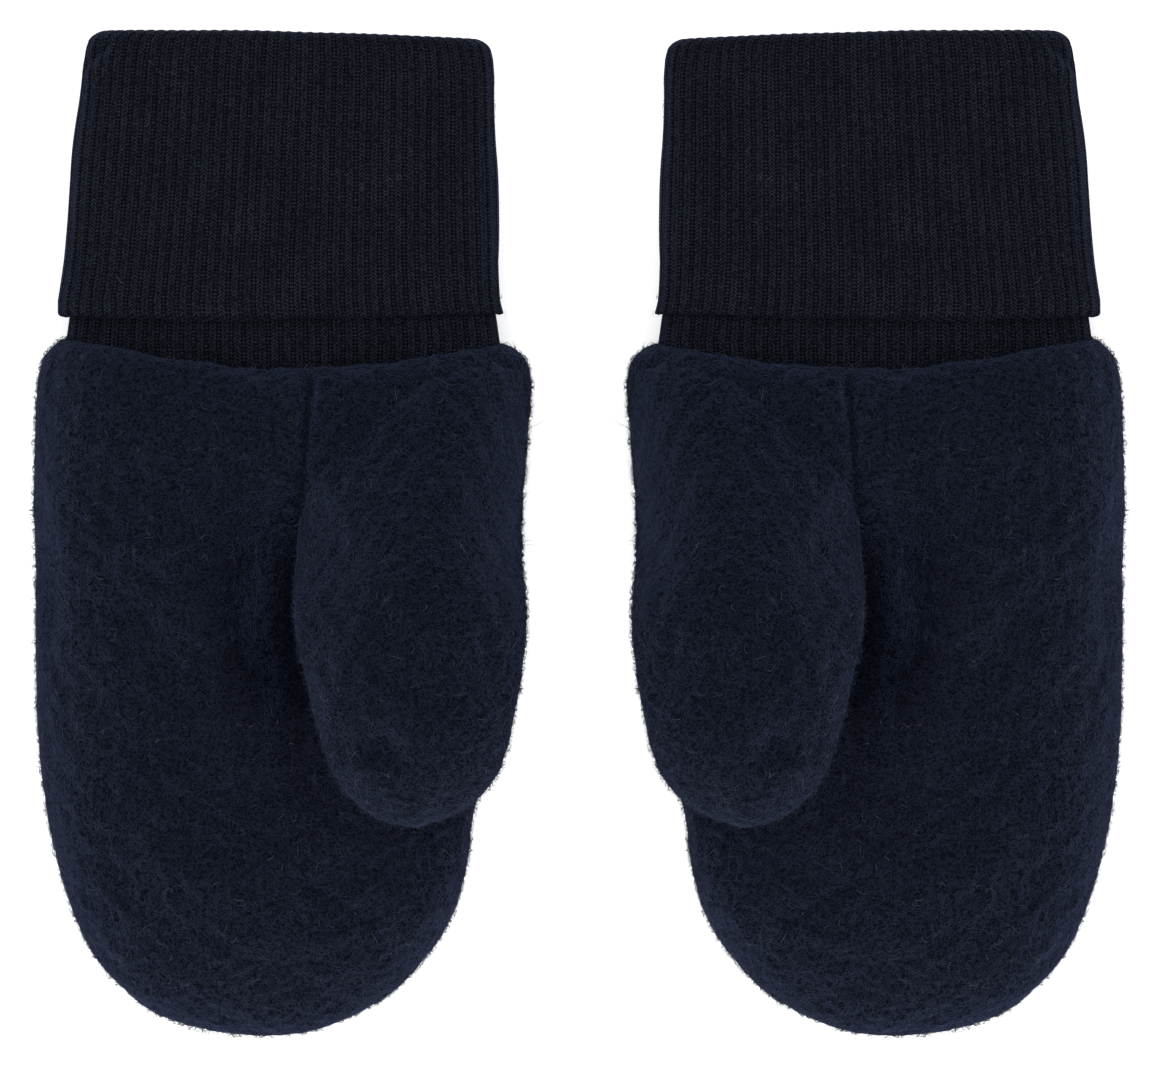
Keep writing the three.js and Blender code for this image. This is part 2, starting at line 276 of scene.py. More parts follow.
def superellipse(width, height, angles, squareness):
    """Points of a rounded section about its centre: an ellipse at squareness 2, boxier above."""
    x = width / 2 * signed_power(np.cos(angles), 2 / squareness)
    z = height / 2 * signed_power(np.sin(angles), 2 / squareness)
    return np.stack([x, z], axis=1)


def section_angles(form, start, end, spacing):
    """Angles that walk evenly round the form's widest section between two angles."""
    widest = spline(form["rows"], np.array([len(form["rows"]) * WIDEST_SHARE]))[0]
    _, left, _, right, _, _, bottom, top = widest
    dense = np.linspace(start, end, 4000)
    points = superellipse(right - left, top - bottom, dense, form["squareness"])
    length = np.linalg.norm(np.diff(points, axis=0), axis=1).sum()
    share = even_steps(points, max(8, int(length / spacing)))
    return start + share * (end - start)


def pillow(form, t, angles, inset=0.0):
    """Points of a pillow form, shape (stations, angles, 3)."""
    row_values = spline(form["rows"], t).T[..., None]
    y_left, left, y_right, right, edge_left, edge_right, bottom, top = row_values
    half = (right - left) / 2
    half = half - draw_in(half, inset)
    across = signed_power(np.cos(angles), 2 / form["squareness"])
    rise = signed_power(np.sin(angles), 2 / form["squareness"])
    x = (left + right) / 2 + half * across
    share = (across + 1) / 2
    y = y_left * (1 - share) + y_right * share
    edge = edge_left * (1 - share) + edge_right * share
    low_side = form["lean"] * np.clip((y - LEAN_FROM) / LEAN_FADE, 0, 1) * (1 - share) ** 1.5
    up = (top - edge) * (1 - low_side)
    down = edge - bottom
    reach = np.where(rise > 0, up - draw_in(up, inset), down - draw_in(down, inset))
    from_wrist = (y.max() - y) / SAG_FADE
    y = y - form["sag"] * (1 - across**2) * np.exp(-(from_wrist**2)) * np.abs(rise) ** 0.5
    points = np.stack([x, y, edge + reach * rise], axis=2)
    if form["swell"] is not None:
        points = points + sample_swell(form, t, angles)
    if form["hollow"] is not None:
        points[..., 2] -= form["hollow"](points) * np.clip(rise, 0, 1) ** 0.5
    return points


def sample_swell(form, t, angles):
    """The cloth's settled movement, read off its coarse grid at the given stations and angles."""
    coarse = form["swell"]
    stations, columns = coarse.shape[:2]
    along = spline(coarse.reshape(stations, -1), t / (len(form["rows"]) - 1) * (stations - 1))
    along = along.reshape(len(t), columns, 3).transpose(1, 0, 2).reshape(columns, -1)
    around = spline(along, (angles % (2 * np.pi)) / (2 * np.pi) * (columns - 1))
    return around.reshape(len(angles), len(t), 3).transpose(1, 0, 2)


def fleece_relief(points, seed):
    """Outward swell of the brushed surface: soft clouds, clumps and matted tufts."""
    flat = points.reshape(-1, 3)
    clouds = 0.22 * ripple(flat, 19, seed)
    clumps = 0.10 * ripple(flat, 5.0, seed + 1)
    tufts = 0.08 * ripple(flat, 1.9, seed + 2, 40)
    return (clouds + clumps + tufts).reshape(points.shape[:2])


def edge_distance(grid):
    """Distance of each grid point from the two side edges of the panel, along the surface."""
    steps = np.linalg.norm(np.diff(grid, axis=1), axis=2)
    from_first = np.concatenate([np.zeros((len(grid), 1)), np.cumsum(steps, axis=1)], axis=1)
    return np.minimum(from_first, from_first[:, -1:] - from_first)


def wrist_distance(grid):
    """Distance of each grid point from the panel's cuff end."""
    steps = np.linalg.norm(np.diff(grid, axis=0), axis=2)
    return np.concatenate([np.zeros((1, grid.shape[1])), np.cumsum(steps, axis=0)], axis=0)


def pressed_nap(form, grid):
    """Painted shade from 0 to 1 that darkens the fleece's colour: along the seams, at the cuff end
    and where the form says.
    """
    at_seams = 0.6 * smooth_bump(edge_distance(grid), 0.9)
    at_wrist = 0.9 * smooth_bump(wrist_distance(grid), 3.0)
    pressed = at_seams + at_wrist
    if form["pressed"] is not None:
        pressed = pressed + form["pressed"](grid)
    return np.clip(pressed, 0, 1)


def panel(form, lower, seed):
    """One fleece panel: its fine outer surface, its plain inner surface and the painted shade on
    its outer surface.
    """
    rows = form["rows"]
    t = station_parameters(rows, GRAIN)
    start, end = (math.pi, 2 * math.pi) if lower else (0, math.pi)
    angles = section_angles(form, start, end, GRAIN)
    outer = pillow(form, t, angles)
    normals = grid_normals(outer)
    relief = fleece_relief(outer, seed)
    stretched = (outer * (1, 0.12, 0.3)).reshape(-1, 3)
    gathers = ripple(stretched, 7.5, seed + 3).reshape(relief.shape)
    relief *= 1 - 0.6 * smooth_bump(edge_distance(outer), 4)
    relief += 0.16 * gathers * np.exp(-wrist_distance(outer) / 7)
    relief -= GROOVE_DEPTH * smooth_bump(edge_distance(outer), GROOVE_WIDTH)
    calm = np.clip(outer[..., 2] / 1.5, 0.25, 1)
    outer = outer + normals * (relief * calm)[..., None]
    outer[..., 2] = np.maximum(outer[..., 2], 0.03 * np.abs(relief))
    inner = pillow(form, t, np.linspace(start, end, 26), FLEECE)
    inner[..., 2] = np.maximum(inner[..., 2], FLEECE)
    pressed = np.zeros(outer.shape[:2]) if lower else pressed_nap(form, outer)
    return outer, inner, pressed


def shell_mesh(outer, inner, pressed):
    """Points, faces and painted shade of a closed C-shaped shell from its two grids."""
    stations, fine = outer.shape[:2]
    coarse = inner.shape[1]
    ring = fine + coarse
    points = np.concatenate([outer, inner[:, ::-1]], axis=1).reshape(-1, 3)
    shell_pressed = np.concatenate([pressed, np.zeros(inner.shape[:2])], axis=1)
    quads = grid_quads(stations, ring, wrap_columns=True)
    first = np.arange(fine)
    second = np.arange(ring - 1, fine - 1, -1)
    last = (stations - 1) * ring
    low_cap = zip_edges(first, second)[:, ::-1]
    high_cap = zip_edges(first + last, second + last)
    return points, [quads, low_cap, high_cap], shell_pressed


# ---- materials


class Nodes:
    """A node material. Places are in mm, so a noise scale is per mm."""

    def __init__(self, name, roughness):
        self.material = bpy.data.materials.new(name)
        self.material.use_nodes = True
        self.tree = self.material.node_tree
        self.shader = self.tree.nodes["Principled BSDF"]
        self.shader.inputs["Roughness"].default_value = roughness

    def new(self, kind, inputs, **settings):
        """A node with its settings made and its inputs set or linked."""
        node = self.tree.nodes.new(kind)
        for key, value in settings.items():
            setattr(node, key, value)
        for key, value in inputs.items():
            self.link(value, node.inputs[key])
        return node

    def link(self, value, socket):
        if hasattr(value, "is_output"):
            self.tree.links.new(value, socket)
        elif socket.type == "RGBA":
            socket.default_value = (*value, 1)
        else:
            socket.default_value = value

    def math(self, operation, a, b=0.0):
        return self.new("ShaderNodeMath", {0: a, 1: b}, operation=operation).outputs[0]

    def times(self, a, b):
        return self.math("MULTIPLY", a, b)

    def plus(self, a, b):
        return self.math("ADD", a, b)

    def attribute(self, name, output="Vector"):
        return self.new("ShaderNodeAttribute", {}, attribute_name=name).outputs[output]

    def shift(self, vector, offset, scale=(1, 1, 1)):
        inputs = {"Vector": vector, "Location": offset, "Scale": scale}
        return self.new("ShaderNodeMapping", inputs).outputs[0]

    def noise(self, vector, scale, detail=2.0, distortion=0.0, roughness=0.5):
        inputs = {"Vector": vector, "Scale": scale, "Detail": detail}
        inputs.update({"Roughness": roughness, "Distortion": distortion})
        return self.new("ShaderNodeTexNoise", inputs).outputs["Fac"]

    def ramp(self, value, low, high, to_low=0.0, to_high=1.0):
        inputs = {"Value": value, "From Min": low, "From Max": high}
        inputs.update({"To Min": to_low, "To Max": to_high})
        node = self.new("ShaderNodeMapRange", inputs, interpolation_type="SMOOTHSTEP")
        return node.outputs["Result"]

    def mix(self, factor, a, b):
        inputs = {"Factor": factor, 6: a, 7: b}
        return self.new("ShaderNodeMix", inputs, data_type="RGBA").outputs[2]

    def scaled(self, colour, factor):
        """A colour made darker or lighter by a factor."""
        inputs = {0: colour, "Scale": factor}
        return self.new("ShaderNodeVectorMath", inputs, operation="SCALE").outputs[0]

    def bump(self, height, strength, distance):
        inputs = {"Height": height, "Strength": strength, "Distance": distance}
        self.link(self.new("ShaderNodeBump", inputs).outputs[0], self.shader.inputs["Normal"])

    def finish(self, colour, specular, sheen, sheen_roughness=0.4):
        inputs = {"Base Color": colour, "Specular IOR Level": specular, "Sheen Weight": sheen}
        inputs.update({"Sheen Tint": SHEEN_TINT, "Sheen Roughness": sheen_roughness})
        for key, value in inputs.items():
            self.link(value, self.shader.inputs[key])
        return self.material


SHEEN_TINT = (0.33, 0.435, 0.88)


def curl_lines(mat, place, offset, turn, scale, width, cover):
    """Curly threads: the level lines of a drawn-out noise, broken up by a second noise."""
    inputs = {"Vector": place, "Location": offset, "Scale": (1.0, 2.3, 1.3)}
    inputs["Rotation"] = (0.2, 0.15, math.radians(turn))
    drawn_out = mat.new("ShaderNodeMapping", inputs, vector_type="TEXTURE").outputs[0]
    field = mat.noise(drawn_out, scale, 1.0, 0.7)
    away = mat.math("ABSOLUTE", mat.math("SUBTRACT", field, 0.5))
    line = mat.ramp(away, 0.0, width, 1.0, 0.0)
    patch = mat.noise(mat.shift(place, (offset[2], offset[0], offset[1])), scale * 0.8, 1.0)
    return mat.times(line, mat.ramp(patch, cover, cover + 0.14))


def fleece_material(name, dark, light, thread):
    """Brushed wool: matted clumps and grain, dark pits and paler curly threads."""
    mat = Nodes(name, 0.95)
    place = mat.attribute("rest")
    clouds = mat.noise(place, 0.09, 3.0)
    clumps = mat.noise(mat.shift(place, (7, 3, 1)), 0.7, 4.0, 0.8, 0.65)
    grain = mat.noise(mat.shift(place, (1, 9, 4)), 3.2, 3.0, 0.8, 0.65)
    pits = mat.noise(mat.shift(place, (11, 2, 6)), 1.9, 2.0, 0.6)
    clump_tone = mat.ramp(clumps, 0.3, 0.7, 0.0, 0.5)
    tone = mat.plus(clump_tone, mat.ramp(grain, 0.34, 0.66, 0.0, 0.5))
    tone = mat.times(tone, mat.ramp(pits, 0.27, 0.38, 0.4, 1.0))
    colour = mat.mix(tone, dark, light)
    shade = mat.ramp(clouds, 0.3, 0.7, 0.88, 1.1)
    curls = [
        curl_lines(mat, place, (0, 0, 0), 20, 1.00, 0.032, 0.34),
        curl_lines(mat, place, (31, 17, 9), 65, 1.20, 0.036, 0.36),
        curl_lines(mat, place, (5, 43, 27), 110, 1.35, 0.040, 0.38),
        curl_lines(mat, place, (19, 3, 41), 155, 1.60, 0.046, 0.40),
    ]
    lines = curls[0]
    for more in curls[1:]:
        lines = mat.math("MAXIMUM", lines, more)
    colour = mat.mix(mat.times(lines, 0.75), colour, thread)
    # painted shade: the colour darkens to 12% where the shade mask is 1, in the thumb's crotch, the
    # crease, the dimple, along the seams and at the cuff end
    pressed = mat.ramp(mat.attribute("pressed", "Fac"), 0.0, 1.0, 1.0, 0.12)
    colour = mat.scaled(colour, mat.times(shade, pressed))
    height = mat.plus(mat.times(lines, 0.6), mat.plus(clumps, grain))
    mat.bump(height, 0.8, 0.45 * MM)
    mat.link(mat.ramp(grain, 0.3, 0.7, 0.88, 1.0), mat.shader.inputs["Roughness"])
    return mat.finish(colour, 0.035, 0.22)


def fibre_material(name, colour):
    """One shade of wool fibre; each tuft takes its own shade."""
    return Nodes(name, 0.8).finish(colour, 0.08, 0.12)


def rib_material(name, dark, light):
    """Rib knit: V stitches on each rib and purl bars between, in uneven yarn."""
    mat = Nodes(name, 0.9)
    place = mat.attribute("rest")
    wale = mat.math("FRACT", mat.attribute("wale", "Fac"))
    course = mat.attribute("course", "Fac")
    off_centre = mat.math("ABSOLUTE", mat.math("SUBTRACT", wale, 0.5))
    rib = mat.ramp(off_centre, 0.26, 0.33, 1.0, 0.0)
    slant = mat.plus(course, mat.times(off_centre, 4.2))
    loops = mat.math("COSINE", mat.times(slant, 2 * math.pi))
    loops = mat.ramp(loops, -0.2, 0.8)
    legs = mat.ramp(off_centre, 0.0, 0.09, 0.25, 1.0)
    bars = mat.math("COSINE", mat.times(course, 2 * math.pi))
    bars = mat.ramp(bars, -0.7, 0.9, 0.1, 0.44)
    purl = mat.times(bars, mat.ramp(off_centre, 0.34, 0.41, 0.0, 1.0))
    stitch = mat.times(mat.times(loops, legs), 0.8)
    stitch = mat.plus(stitch, 0.1)
    knit = mat.plus(mat.times(stitch, rib), purl)
    yarn = mat.noise(place, 3.4, 3.0, 0.4, 0.65)
    uneven = mat.noise(mat.shift(place, (4, 1, 6)), 1.9, 2.0, 0.3)
    clouds = mat.noise(mat.shift(place, (3, 8, 2)), 0.11, 3.0)
    streaks = mat.noise(mat.shift(place, (2, 5, 7), (0.9, 0.06, 0.5)), 1.0, 2.0)
    tone = mat.times(knit, mat.ramp(yarn, 0.34, 0.66, 0.4, 1.4))
    tone = mat.times(tone, mat.ramp(uneven, 0.36, 0.64, 0.45, 1.4))
    tone = mat.times(tone, mat.ramp(streaks, 0.3, 0.7, 0.88, 1.1))
    colour = mat.mix(tone, dark, light)
    # painted shade: the rib colour darkens to 30% on the lower fold of the turned-down cuff
    pressed = mat.ramp(mat.attribute("pressed", "Fac"), 0.0, 1.0, 1.0, 0.3)
    shade = mat.ramp(clouds, 0.3, 0.7, 0.86, 1.1)
    colour = mat.scaled(colour, mat.times(shade, pressed))
    height = mat.plus(knit, mat.times(yarn, 0.5))
    mat.bump(height, 0.8, 0.2 * MM)
    return mat.finish(colour, 0.03, 0.10)


def jersey_material(name, dark, light):
    mat = Nodes(name, 0.9)
    place = mat.attribute("rest")
    inputs = {"Vector": place, "Scale": 0.5, "Distortion": 1.0}
    threads = mat.new("ShaderNodeTexWave", inputs, wave_type="BANDS", bands_direction="X")
    grain = mat.noise(place, 2.0, 3.0)
    tone = mat.times(threads.outputs["Fac"], grain)
    mat.bump(tone, 0.4, 0.1 * MM)
    return mat.finish(mat.mix(tone, dark, light), 0.08, 0.08, 0.5)


def thread_material(name, dark, light):
    mat = Nodes(name, 0.8)
    inputs = {"Vector": mat.attribute("rest"), "Scale": 1.2}
    wave = mat.new("ShaderNodeTexWave", inputs, wave_type="BANDS", bands_direction="DIAGONAL")
    twist = wave.outputs["Fac"]
    mat.bump(twist, 0.5, 0.1 * MM)
    return mat.finish(mat.mix(twist, dark, light), 0.1, 0.1, 0.5)


def floor_material():
    mat = Nodes("pale_floor", 0.9)
    place = mat.new("ShaderNodeTexCoord", {}).outputs["Object"]
    grain = mat.noise(place, 40, 2.0)
    colour = mat.mix(grain, (0.90, 0.90, 0.905), (0.92, 0.92, 0.925))
    mat.shader.inputs["Emission Color"].default_value = (1, 1, 1, 1)
    mat.shader.inputs["Emission Strength"].default_value = 0.5
    return mat.finish(colour, 0.1, 0.0)


FLEECE_MATERIAL = fleece_material(
    "brushed_wool_fleece",
    dark=(0.0008, 0.0011, 0.0022),
    light=(0.0030, 0.0037, 0.0076),
    thread=(0.0152, 0.0178, 0.0292),
)
RIB_MATERIAL = rib_material("rib_knit_cloth", (0.0006, 0.0008, 0.0016), (0.0262, 0.0312, 0.0462))
JERSEY_MATERIAL = jersey_material("jersey_cloth", (0.007, 0.009, 0.016), (0.014, 0.018, 0.032))
THREAD_MATERIAL = thread_material("sewing_thread", (0.001, 0.0013, 0.0025), (0.003, 0.0038, 0.0065))
FIBRE_SHADES = [
    fibre_material("wool_fibre_dark", (0.0042, 0.0053, 0.0102)),
    fibre_material("wool_fibre_mid", (0.0094, 0.0118, 0.0215)),
    fibre_material("wool_fibre_pale", (0.022, 0.026, 0.044)),
    fibre_material("wool_fibre_bright", (0.062, 0.064, 0.076)),
]

# ---- loose fibres

TUBE_SIDES = 3
NAP_SHADES = [0.38, 0.36, 0.2, 0.06]  # share of each fibre shade in the lying nap
TUFT_SHADES = [0.25, 0.38, 0.3, 0.07]  # and in the short tufts along the edges


def fibre_tubes(paths, radii):
    """Closed three-sided tubes along the paths, shape (fibres, steps, 3), tapering to a point."""
    count, steps = paths.shape[:2]
    heading = np.gradient(paths, axis=1)
    heading /= np.linalg.norm(heading, axis=2)[..., None] + 1e-9
    side = np.cross(heading, np.array([0.13, 0.31, 0.94]))
    side /= np.linalg.norm(side, axis=2)[..., None] + 1e-9
    up = np.cross(side, heading)
    taper = np.sqrt(np.linspace(1, 0.12, steps))[None, :, None] * radii[:, None, None]
    turns = [2 * np.pi * k / TUBE_SIDES for k in range(TUBE_SIDES)]
    rings = [paths + taper * (side * math.cos(a) + up * math.sin(a)) for a in turns]
    points = np.stack(rings, axis=2)
    size = steps * TUBE_SIDES
    one = grid_quads(steps, TUBE_SIDES, wrap_columns=True)[:, ::-1]
    triangles = np.concatenate([one[:, [0, 1, 2]], one[:, [0, 2, 3]]])
    caps = np.array([[0, 1, 2], [size - 1, size - 2, size - 3]])
    one = np.concatenate([triangles, caps])
    faces = (one[None] + (np.arange(count) * size)[:, None, None]).reshape(-1, 3)
    return points.reshape(-1, 3), faces, len(one)


def scatter(grid, count, rng, weight=None):
    """Random places on a grid surface, with their normals and two tangents."""
    edge_a = grid[1:, :-1] - grid[:-1, :-1]
    edge_b = grid[:-1, 1:] - grid[:-1, :-1]
    area = np.linalg.norm(np.cross(edge_a, edge_b), axis=2)
    if weight is not None:
        area = area * weight[:-1, :-1]
    chance = area.ravel() / area.sum()
    cells = rng.choice(len(chance), count, p=chance)
    r, c = np.unravel_index(cells, area.shape)
    u, v = rng.random((2, count, 1))
    base = grid[r, c] + edge_a[r, c] * u + edge_b[r, c] * v
    normal = grid_normals(grid)[r, c]
    tangent = edge_b[r, c] / (np.linalg.norm(edge_b[r, c], axis=1)[:, None] + 1e-9)
    tangent -= normal * (tangent * normal).sum(1)[:, None]
    tangent /= np.linalg.norm(tangent, axis=1)[:, None] + 1e-9
    return base, normal, tangent, np.cross(normal, tangent)


def curly_fibres(grid, count, rng, length, rise, bend, radius, steps, weight=None):
    """Paths and radii of fibres that lie on a surface and curl, with their free ends lifted."""
    base, normal, tangent, other = scatter(grid, count, rng, weight)
    size = length * rng.uniform(0.55, 1.45, count)
    lift = rise * rng.uniform(0.15, 1.0, count) ** 1.5
    turn = rng.uniform(0, 2 * np.pi, count)
    curve = rng.normal(0, 1, count) / bend
    wobble = rng.normal(0, 0.35, (count, steps))
    arch = np.sin(np.pi * 0.75 * np.arange(steps) / (steps - 1))
    step = size / (steps - 1)
    place = base - normal * 0.12
    paths = [place]
    for k in range(1, steps):
        turn = turn + curve * step + wobble[:, k]
        along = tangent * np.cos(turn)[:, None] + other * np.sin(turn)[:, None]
        climb = lift * (arch[k] - arch[k - 1])
        place = place + along * step[:, None] + normal * climb[:, None]
        paths.append(place)
    paths = np.stack(paths, axis=1)
    paths[..., 2] = np.maximum(paths[..., 2], radius * 1.2)
    return paths, radius * rng.uniform(0.7, 1.2, count)


def fuzz_object(name, side, batches, rng):
    """One mesh of many fibres; each batch is its fibres and the share of each shade in it."""
    all_points, all_faces, shades, offset = [], [], [], 0
    for (paths, radii), shares in batches:
        points, faces, per_fibre = fibre_tubes(paths, radii)
        all_points.append(points)
        all_faces.append(faces + offset)
        shades.append(np.repeat(rng.choice(len(shares), len(paths), p=shares), per_fibre))
        offset += len(points)
    points, faces = np.concatenate(all_points), [np.concatenate(all_faces)]
    return mesh_object(name, points, faces, side, FIBRE_SHADES, shades=np.concatenate(shades))


# ---- pieces


def attach(obj, side, part, nodes):
    """Puts a piece on one body of its mitten, or across the thumb's fold, and hides the frame's
    parts of the given nodes.
    """
    if part == "thumb_fold":
        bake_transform(obj)
    else:
        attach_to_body(obj, f"{side}_{part}")
    if nodes:
        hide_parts(*(f"{side}_{node}" for node in nodes))


CLOTH_PRESSURE = 4
CLOTH_FRAMES = 20
CLOTH_CAP = 1.6  # most that the filled cloth may move, mm
CREASE_X = 3.6  # the crease beside the thumb's base, where the thumb comes free
CREASE_Y = -2.5
CREASE_LEAN = 0.062
DIMPLE = (19.6, -40.5)  # the dimple near the tip of the thumb


def palm_hollow(points):
    """Soft hollows of the palm: the crease beside the thumb's base and the dip at the crotch."""
    x, y = points[..., 0], points[..., 1]
    crotch = smooth_bump(np.hypot(x - 0.5, (y + 10) / 1.8), 8.0)
    along_thumb = smooth_bump(x - 4.0, 7.0) * smooth_bump(y + 26, 22)
    return 0.9 * in_crease(x, y, 1.2) + 5.4 * crotch + 3.0 * along_thumb


def thumb_hollow(points):
    """A shallow dimple near the tip of the thumb."""
    x, y = points[..., 0], points[..., 1]
    away = np.hypot(x - DIMPLE[0], (y - DIMPLE[1]) * 1.2)
    return 1.8 * smooth_bump(away, 3.8)


def palm_painted_shade(points):
    """Painted shade on the palm where the thumb folds against it, and along the crease."""
    x, y = points[..., 0], points[..., 1]
    beside = x + 2.8 + 0.15 * (y + 17)
    crotch = 1.5 * smooth_bump(np.hypot(beside / 9.5, (y + 17) / 18), 1)
    return crotch + in_crease(x, y, 1.5)


def thumb_painted_shade(points):
    """Painted shade in the dimple near the thumb's tip and along the crease."""
    x, y = points[..., 0], points[..., 1]
    dimple = 0.4 * smooth_bump(np.hypot(x - DIMPLE[0], y - DIMPLE[1]), 4.5)
    return dimple + in_crease(x, y, 1.5)


def in_crease(x, y, width):
    """1 on the crease between the palm and the thumb's base, down to 0 beside it."""
    from_line = x - CREASE_X - (y - CREASE_Y) * CREASE_LEAN
    return smooth_bump(from_line, width) / (1 + np.exp(-(y + 6) / 2))


def settle(form):
    """Fills the form as a sewn cloth bag and keeps how far the cloth has moved, in mm."""
    rows = form["rows"]
    stations, columns = 56, 73
    t = np.linspace(0, len(rows) - 1, stations)
    angles = np.linspace(0, 2 * np.pi, columns)
    start = pillow(form, t, angles, 0.4)
    closed = start[:, :-1].reshape(-1, 3)
    around = columns - 1
    ends = np.array([np.arange(around)[::-1], np.arange(around) + (stations - 1) * around])
    mesh = bpy.data.meshes.new("cloth_bag")
    quads = grid_quads(stations, around, wrap_columns=True)
    mesh.from_pydata((closed * MM).tolist(), [], [f.tolist() for f in (*quads, *ends)])
    bag = add_to_scene("cloth_bag", mesh)
    pins = bag.vertex_groups.new(name="pins")
    pins.add(list(range(around * 2)), 1.0, "REPLACE")
    cloth = bag.modifiers.new("Cloth", "CLOTH").settings
    cloth.quality = 6
    cloth.mass = 0.15
    cloth.tension_stiffness = 12
    cloth.compression_stiffness = 12
    cloth.bending_stiffness = 0.4
    cloth.vertex_group_mass = "pins"
    cloth.use_pressure = True
    cloth.uniform_pressure_force = CLOTH_PRESSURE
    cloth.effector_weights.gravity = 0
    for tick in range(1, CLOTH_FRAMES + 1):
        bpy.context.scene.frame_set(tick)
    settled = bag.evaluated_get(bpy.context.evaluated_depsgraph_get()).data
    moved = np.empty(len(closed) * 3, np.float32)
    settled.vertices.foreach_get("co", moved)
    moved = moved.reshape(stations, around, 3) / MM - start[:, :-1]
    size = np.linalg.norm(moved, axis=2)[..., None]
    moved *= CLOTH_CAP / np.maximum(size, CLOTH_CAP)
    bpy.context.scene.frame_set(1)
    bpy.data.objects.remove(bag)
    bpy.data.meshes.remove(mesh)
    share = (signed_power(np.cos(angles[:-1]), 2 / form["squareness"]) + 1)[None, :, None] / 2
    moved -= moved[:, :1] * share + moved[:, [around // 2]] * (1 - share)
    for _ in range(3):
        moved = (np.roll(moved, 1, axis=1) + 2 * moved + np.roll(moved, -1, axis=1)) / 4
        moved[1:-1] = (moved[:-2] + 2 * moved[1:-1] + moved[2:]) / 4
    form["swell"] = np.concatenate([moved, moved[:, :1]], axis=1)


PLAIN = {"swell": None, "hollow": None, "pressed": None}  # a form before it is filled
HAND = {"rows": HAND_ROWS, "squareness": 2.5, "sag": 5.2, "lean": 0.0, **PLAIN}
THUMB = {"rows": THUMB_ROWS, "squareness": 1.95, "sag": 1.2, "lean": 0.5, **PLAIN}
settle(HAND)
settle(THUMB)
HAND.update(hollow=palm_hollow, pressed=palm_painted_shade)
THUMB.update(hollow=thumb_hollow, pressed=thumb_painted_shade)
HAND_BACK = panel(HAND, True, 21)
HAND_PALM = panel(HAND, False, 11)
THUMB_FRONT = panel(THUMB, False, 31)
THUMB_BACK = panel(THUMB, True, 41)


def make_fleece(side):
    """Four panels of fleece cloth: two round the hand and two round the thumb."""
    front_nodes = ["thumb_base", "thumb_front"]
    for label, cloth, part, nodes, under in (
        ("back_fleece", HAND_BACK, "mitten", ["back_panel"], []),
        ("palm_fleece", HAND_PALM, "mitten", ["palm_panel"], ["hand_lining_bag"]),
        ("thumb_back_fleece", THUMB_BACK, "thumb_fold", ["thumb_back"], ["palm_fleece"]),
        ("thumb_front_fleece", THUMB_FRONT, "thumb_fold", front_nodes, ["thumb_lining_bag"]),
    ):
        points, faces, pressed = shell_mesh(*cloth)
        name = f"{side}_{label}"
        obj = mesh_object(name, points, faces, side, [FLEECE_MATERIAL], points, pressed=pressed)
        attach(obj, side, part, nodes)


def make_fuzz(side):
    """The loose nap of each panel, thicker towards its edges, with a few longer stray hairs."""
    for label, (grid, _, pressed), part, count, seed in (
        ("palm_fuzz", HAND_PALM, "mitten", 5100, 71),
        ("back_fuzz", HAND_BACK, "mitten", 5000, 72),
        ("thumb_fuzz", THUMB_FRONT, "thumb_fold", 4200, 73),
        ("thumb_back_fuzz", THUMB_BACK, "thumb_fold", 1800, 74),
    ):
        rng = np.random.default_rng(seed)
        # the nap thins out where shade is painted on the fleece
        rim = (1 + 1.2 * smooth_bump(edge_distance(grid), 5)) * (1 - 0.92 * pressed)
        nap = curly_fibres(grid, count, rng, 2.2, 0.34, 0.9, 0.062, 5, rim)
        strays = curly_fibres(grid, count // 24, rng, 4.4, 0.6, 1.2, 0.05, 10)
        near_rim = smooth_bump(edge_distance(grid), 3.5)
        near_rim += 0.4 * smooth_bump(wrist_distance(grid), 2.5) * (grid[..., 2] > 4)
        tufts = curly_fibres(grid, count // 2, rng, 1.0, 0.95, 0.6, 0.075, 4, near_rim)
        batches = [(nap, NAP_SHADES), (strays, NAP_SHADES), (tufts, TUFT_SHADES)]
        obj = fuzz_object(f"{side}_{label}", side, batches, rng)
        attach(obj, side, part, [])


# ---- rib cuffs

WALES = 76  # ribs round a cuff
WALE_COLUMNS = 8  # points across one rib
COURSE = 0.68  # height of one row of stitches
RIB_DEPTH = 0.3
CUFF_SQUARENESS = 3.0
CUFF_MIDDLE = 60.0  # y where the ribs are spaced evenly
STEM_START = 30.5  # y where the standing cuff starts, inside the fleece
CUFF_ROWS = [  # y, left, right, bottom, top
    (41.0, -42.6, 42.5, 0.1, 17.2),
    (44.1, -42.6, 41.8, 0.1, 17.2),
    (51.7, -41.5, 41.0, 0.1, 17.1),
    (59.3, -40.6, 40.8, 0.1, 16.9),
    (66.9, -39.8, 40.6, 0.1, 16.7),
    (74.5, -39.2, 40.4, 0.1, 16.4),
    (82.0, -38.6, 40.5, 0.1, 16.1),
    (88.0, -38.2, 40.4, 0.2, 15.8),
    (91.6, -37.6, 40.0, 0.3, 15.5),
    (93.6, -37.0, 39.5, 0.4, 15.3),
    (95.6, -35.8, 38.6, 0.8, 14.8),
]
STEM_ROWS = [
    (29.0, -40.4, 40.4, 2.6, 14.2),
    (36.0, -41.3, 41.2, 2.2, 15.0),
    (41.0, -40.8, 40.6, 2.3, 14.9),
    (47.0, -39.5, 39.4, 2.4, 14.7),
    (60.0, -38.1, 38.3, 2.4, 14.4),
    (75.0, -36.8, 37.9, 2.4, 14.0),
    (88.0, -35.8, 37.8, 2.4, 13.5),
    (93.0, -34.7, 36.8, 2.6, 13.1),
]
TOP_TILT = 1.6  # how much lower the top fold is on the thumb side
EDGE_SAG = 0.8  # how far the lower fold hangs in the middle
